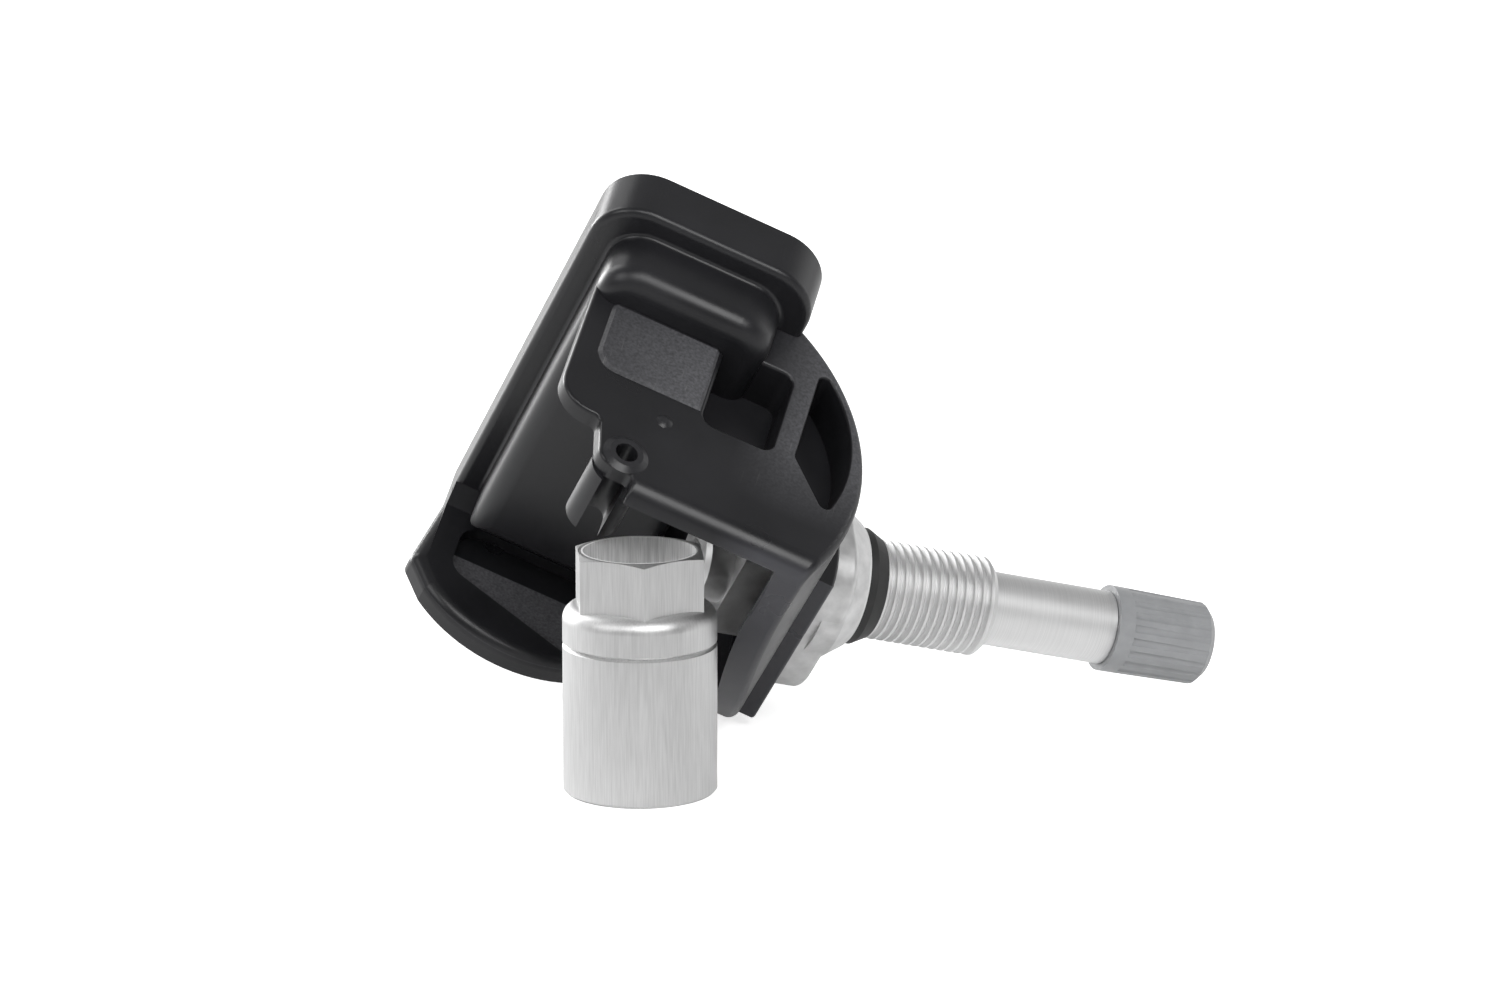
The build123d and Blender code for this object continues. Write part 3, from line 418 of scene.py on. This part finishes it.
def nut_aluminium():
    """The nut, with streaks down its length and a duller bore, whose light colour is painted light that
    lifts the shade inside it.
    """
    shader = Shader("nut_aluminium")
    side = shader.along(NUT_CENTRE, (1, 0, 0))
    depth = shader.along(NUT_CENTRE, (0, 1, 0))
    squares = shader.math("ADD", shader.math("POWER", side, 2), shader.math("POWER", depth, 2))
    dull_lit_bore = shader.both(shader.below(squares, BORE_RADIUS**2), BORE_DULLNESS)
    place = shader.scaled(shader.place, NUT_STREAKS)
    streaks, colour, rough = worked(shader, place, NUT_LEVEL, NUT_ROUGHNESS)
    # Painted light: the bore gets a light colour that lifts its shade.
    colour = shader.blend(dull_lit_bore, colour, shader.tint(streaks, *greys(BORE_PAINTED_LIGHT_LEVELS)))
    rough = shader.math("ADD", rough, shader.both(dull_lit_bore, BORE_ROUGHNESS))
    shader.link(shader.math("SUBTRACT", 1.0, dull_lit_bore), shader.surface.inputs["Metallic"])
    return shader.finish(colour, rough, shader.bump(streaks, STREAK_DEPTH, STREAK_STRENGTH))


def stem_aluminium():
    """The stem, with turned rings."""
    shader = Shader("stem_aluminium")
    shader.set(Metallic=1.0)
    combine = shader.add("ShaderNodeCombineXYZ")
    shader.link(shader.along(STEM_POINT, STEM_AXIS), combine.inputs["X"])
    place = shader.scaled(combine.outputs["Vector"], (STEM_RINGS * MM, 0, 0))
    streaks, colour, rough = worked(shader, place, STEM_LEVEL, STEM_ROUGHNESS)
    return shader.finish(colour, rough, shader.bump(streaks, STREAK_DEPTH, STREAK_STRENGTH))


def cast_aluminium():
    """The collar, with patches and a grain from its mould."""
    shader = Shader("cast_aluminium")
    shader.set(Metallic=1.0)
    patch = shader.noise(CAST_PATCH_SIZE, detail=5)
    grain = shader.noise(CAST_GRAIN_SIZE)
    colour = shader.tint(patch, *greys([CAST_LEVEL * tone for tone in CAST_TONES]))
    uneven = shader.bump(patch, CAST_PATCH_DEPTH, CAST_PATCH_STRENGTH)
    normal = shader.bump(grain, CAST_GRAIN_DEPTH, CAST_GRAIN_STRENGTH, under=uneven)
    return shader.finish(colour, shader.spread(patch, *CAST_ROUGHNESS), normal)


def plain(name, dark, light, roughness, metallic=0.0, gloss=0.5):
    """A finish with a soft mottle and a fine grain, for small and inner pieces."""
    shader = Shader(name)
    shader.set(Metallic=metallic, Specular_IOR_Level=gloss)
    cloud = shader.noise(PLAIN_CLOUD_SIZE, detail=3)
    grain = shader.noise(PLAIN_GRAIN_SIZE)
    rough = shader.spread(cloud, roughness - PLAIN_ROUGHNESS_SPREAD, roughness + PLAIN_ROUGHNESS_SPREAD)
    normal = shader.bump(grain, PLAIN_GRAIN_DEPTH, PLAIN_GRAIN_STRENGTH)
    return shader.finish(shader.tint(cloud, dark, light), rough, normal)


def finishes():
    """One material for each slot of the record."""
    board = ((0.01, 0.09, 0.03, 1), (0.015, 0.13, 0.045, 1))
    ceramic = ((0.35, 0.24, 0.13, 1), (0.42, 0.3, 0.17, 1))
    brass = ((0.62, 0.42, 0.16, 1), (0.7, 0.5, 0.2, 1))
    cap = greys((0.26, 0.3), blue=0.03, red=-0.02)
    made = [
        black_plastic(),
        nut_aluminium(),
        stem_aluminium(),
        cast_aluminium(),
        plain("white_membrane", *greys((0.7, 0.8)), roughness=0.7),
        plain("washer_white", *greys((0.62, 0.7)), roughness=0.45),
        plain("black_rubber", *greys((0.012, 0.02)), roughness=0.55),
        plain("grey_plastic", *cap, roughness=0.34, gloss=0.7),
        plain("board_green", *board, roughness=0.4),
        plain("chip_black", *greys((0.012, 0.02)), roughness=0.5),
        plain("ferrite", *greys((0.03, 0.045)), roughness=0.6),
        plain("ceramic_tan", *ceramic, roughness=0.5),
        plain("steel", *greys((0.6, 0.7)), roughness=0.45, metallic=1.0),
        plain("brass", *brass, roughness=0.3, metallic=1.0),
    ]
    return {slot_of(material): material for material in made}


def slot_of(material):
    """The slot that a material is named after, without a number that was added to its name."""
    return material.name.split(".")[0]


def dress(made):
    """Give each CAD node the finish of its slot."""
    for node in frame["nodes"].values():
        slot_name = slot_of(node.data.materials[0])
        node.data.materials[0] = made[slot_name]


def stem_places(name):
    """Distance along the stem, and from its axis, of each corner of a CAD node."""
    places = []
    for vertex in frame["nodes"][name].data.vertices:
        offset = vertex.co - STEM_POINT
        along = offset.dot(STEM_AXIS)
        places.append((along, (offset - along * STEM_AXIS).length))
    return places


def coil(start, rise, radius, wire):
    """Mesh of a round wire that winds round the stem's axis."""
    steps = SPRING_TURNS * TURN_STEPS
    path = bpy.data.curves.new("spring_path", "CURVE")
    path.dimensions = "3D"
    path.bevel_depth = wire
    path.use_fill_caps = True
    spline = path.splines.new("POLY")
    spline.points.add(steps)
    for step, point in enumerate(spline.points):
        turn = Quaternion(STEM_AXIS, math.tau * step / TURN_STEPS)
        side = turn @ (LENGTH_AXIS * radius)
        place = STEM_POINT + STEM_AXIS * (start + rise * step / steps) + side
        point.co = (*place, 1)
    carrier = bpy.data.objects.new("spring_path", path)
    mesh = bpy.data.meshes.new_from_object(carrier)
    bpy.data.objects.remove(carrier)
    mesh.shade_smooth()
    return mesh


def core_spring(material):
    """Open coil from its seat to just under the pin's head; it keeps this one length, though the real
    spring shortens as the pin goes in.
    """
    solid = stem_places("core_spring")
    inner = min(radius for _, radius in solid)
    outer = max(radius for _, radius in solid)
    wire = (outer - inner) / 2
    foot = min(along for along, _ in solid)
    head = min(along for along, radius in stem_places("core_pin") if radius > inner)
    start = foot + wire
    mesh = coil(start, head - SPRING_GAP - wire - start, (inner + outer) / 2, wire)
    mesh.materials.append(material)
    spring = bpy.data.objects.new("valve_core_spring", mesh)
    scene.collection.objects.link(spring)
    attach(spring, "stem")
    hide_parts("core_spring")
    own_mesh(spring)


class Studio(Nodes):
    """Nodes of the floor or the surround, which know what kind of ray looks at them."""

    def __init__(self, tree):
        super().__init__(tree)
        self.ray = self.add("ShaderNodeLightPath").outputs

    def axis(self, coordinates, name):
        """One coordinate of the surface's place, or of the direction looked in."""
        place = self.add("ShaderNodeTexCoord")
        split = self.add("ShaderNodeSeparateXYZ")
        self.link(place.outputs[coordinates], split.inputs[0])
        return split.outputs[name]

    def soft_ramp(self, value, span, low, high):
        return self.ramp(value, span, low, high, interpolation_type="SMOOTHSTEP")


def floor_material():
    """Pale, with a soft glow like a light table's, and dimmer at the front for mirrors."""
    material = bpy.data.materials.new("floor")
    material.use_nodes = True
    material.node_tree.nodes.clear()
    studio = Studio(material.node_tree)
    diffuse = studio.add("ShaderNodeBsdfDiffuse")
    diffuse.inputs["Color"].default_value = FLOOR_COLOUR
    glow = studio.add("ShaderNodeEmission")
    seen = studio.math("MULTIPLY", studio.ray["Is Camera Ray"], CAMERA_GLOW)
    studio.link(studio.math("ADD", seen, FLOOR_GLOW), glow.inputs["Strength"])
    both = studio.add("ShaderNodeAddShader")
    studio.link(diffuse.outputs[0], both.inputs[0])
    studio.link(glow.outputs[0], both.inputs[1])
    front = studio.soft_ramp(studio.axis("Object", "Y"), FRONT_FLOOR, FRONT_DIMMING, 0.0)
    dim = studio.add("ShaderNodeMixShader")
    studio.link(studio.math("MULTIPLY", front, studio.ray["Is Glossy Ray"]), dim.inputs[0])
    studio.link(both.outputs[0], dim.inputs[1])
    output = studio.add("ShaderNodeOutputMaterial")
    studio.link(dim.outputs[0], output.inputs["Surface"])
    return material


def floor():
    """Plain floor, which keeps a faint shadow of the object."""
    half = FLOOR_SIZE / 2
    mesh = bpy.data.meshes.new("floor")
    corners = [(-half, -half, 0), (half, -half, 0), (half, half, 0), (-half, half, 0)]
    mesh.from_pydata(corners, [], [(0, 1, 2, 3)])
    mesh.materials.append(floor_material())
    obj = bpy.data.objects.new("floor", mesh)
    scene.collection.objects.link(obj)


def world():
    """White surround for the camera and through glass; mirrors see it brightest low down at the back."""
    surround = bpy.data.worlds.new("studio")
    scene.world = surround
    surround.use_nodes = True
    studio = Studio(surround.node_tree)
    background = studio.tree.nodes["Background"]
    background.inputs["Color"].default_value = (1, 1, 1, 1)
    backdrop = studio.soft_ramp(studio.axis("Generated", "Y"), FRONT_TO_BACK, FRONT_LEVEL, 1.0)
    height = studio.soft_ramp(studio.axis("Generated", "Z"), WALL_TO_CEILING, 1.0, CEILING_LEVEL)
    mirrored = studio.math("SUBTRACT", studio.math("MULTIPLY", backdrop, height), AMBIENT)
    glossy = studio.math("MULTIPLY", mirrored, studio.ray["Is Glossy Ray"])
    seen = studio.math("MAXIMUM", studio.ray["Is Camera Ray"], studio.ray["Is Transmission Ray"])
    strength = studio.math("MAXIMUM", studio.math("ADD", glossy, AMBIENT), seen)
    studio.link(strength, background.inputs["Strength"])


def softbox(name, place, size, power):
    lamp = bpy.data.lights.new(name, "AREA")
    lamp.shape = "RECTANGLE"
    lamp.size, lamp.size_y = size
    lamp.energy = power
    obj = bpy.data.objects.new(name, lamp)
    obj.location = place
    obj.rotation_euler = (LAMP_AIM - Vector(place)).to_track_quat("-Z", "Y").to_euler()
    scene.collection.objects.link(obj)


def lights():
    softbox("key", place=(0.3, -0.62, 0.6), size=(0.42, 0.42), power=3.6)
    softbox("front", place=(-0.12, -0.75, 0.68), size=(0.3, 0.3), power=1.6)
    softbox("left", place=(-0.6, -0.45, 0.5), size=(0.4, 0.4), power=1.6)
    softbox("back", place=(-0.5, 0.35, 0.6), size=(0.3, 0.5), power=1.5)
    softbox("low", place=(-0.6, 0.62, 0.2), size=(0.45, 0.3), power=4.0)


def camera():
    lens = bpy.data.cameras.new("camera")
    lens.lens = CAMERA_LENS
    lens.sensor_width = SENSOR_WIDTH
    obj = bpy.data.objects.new("camera", lens)
    obj.location = PIVOT + CAMERA_FROM_PIVOT
    obj.rotation_euler = (CAMERA_TILT, 0, 0)
    scene.collection.objects.link(obj)
    scene.camera = obj


materials = finishes()
dress(materials)
core_spring(materials["steel"])
floor()
world()
lights()
camera()
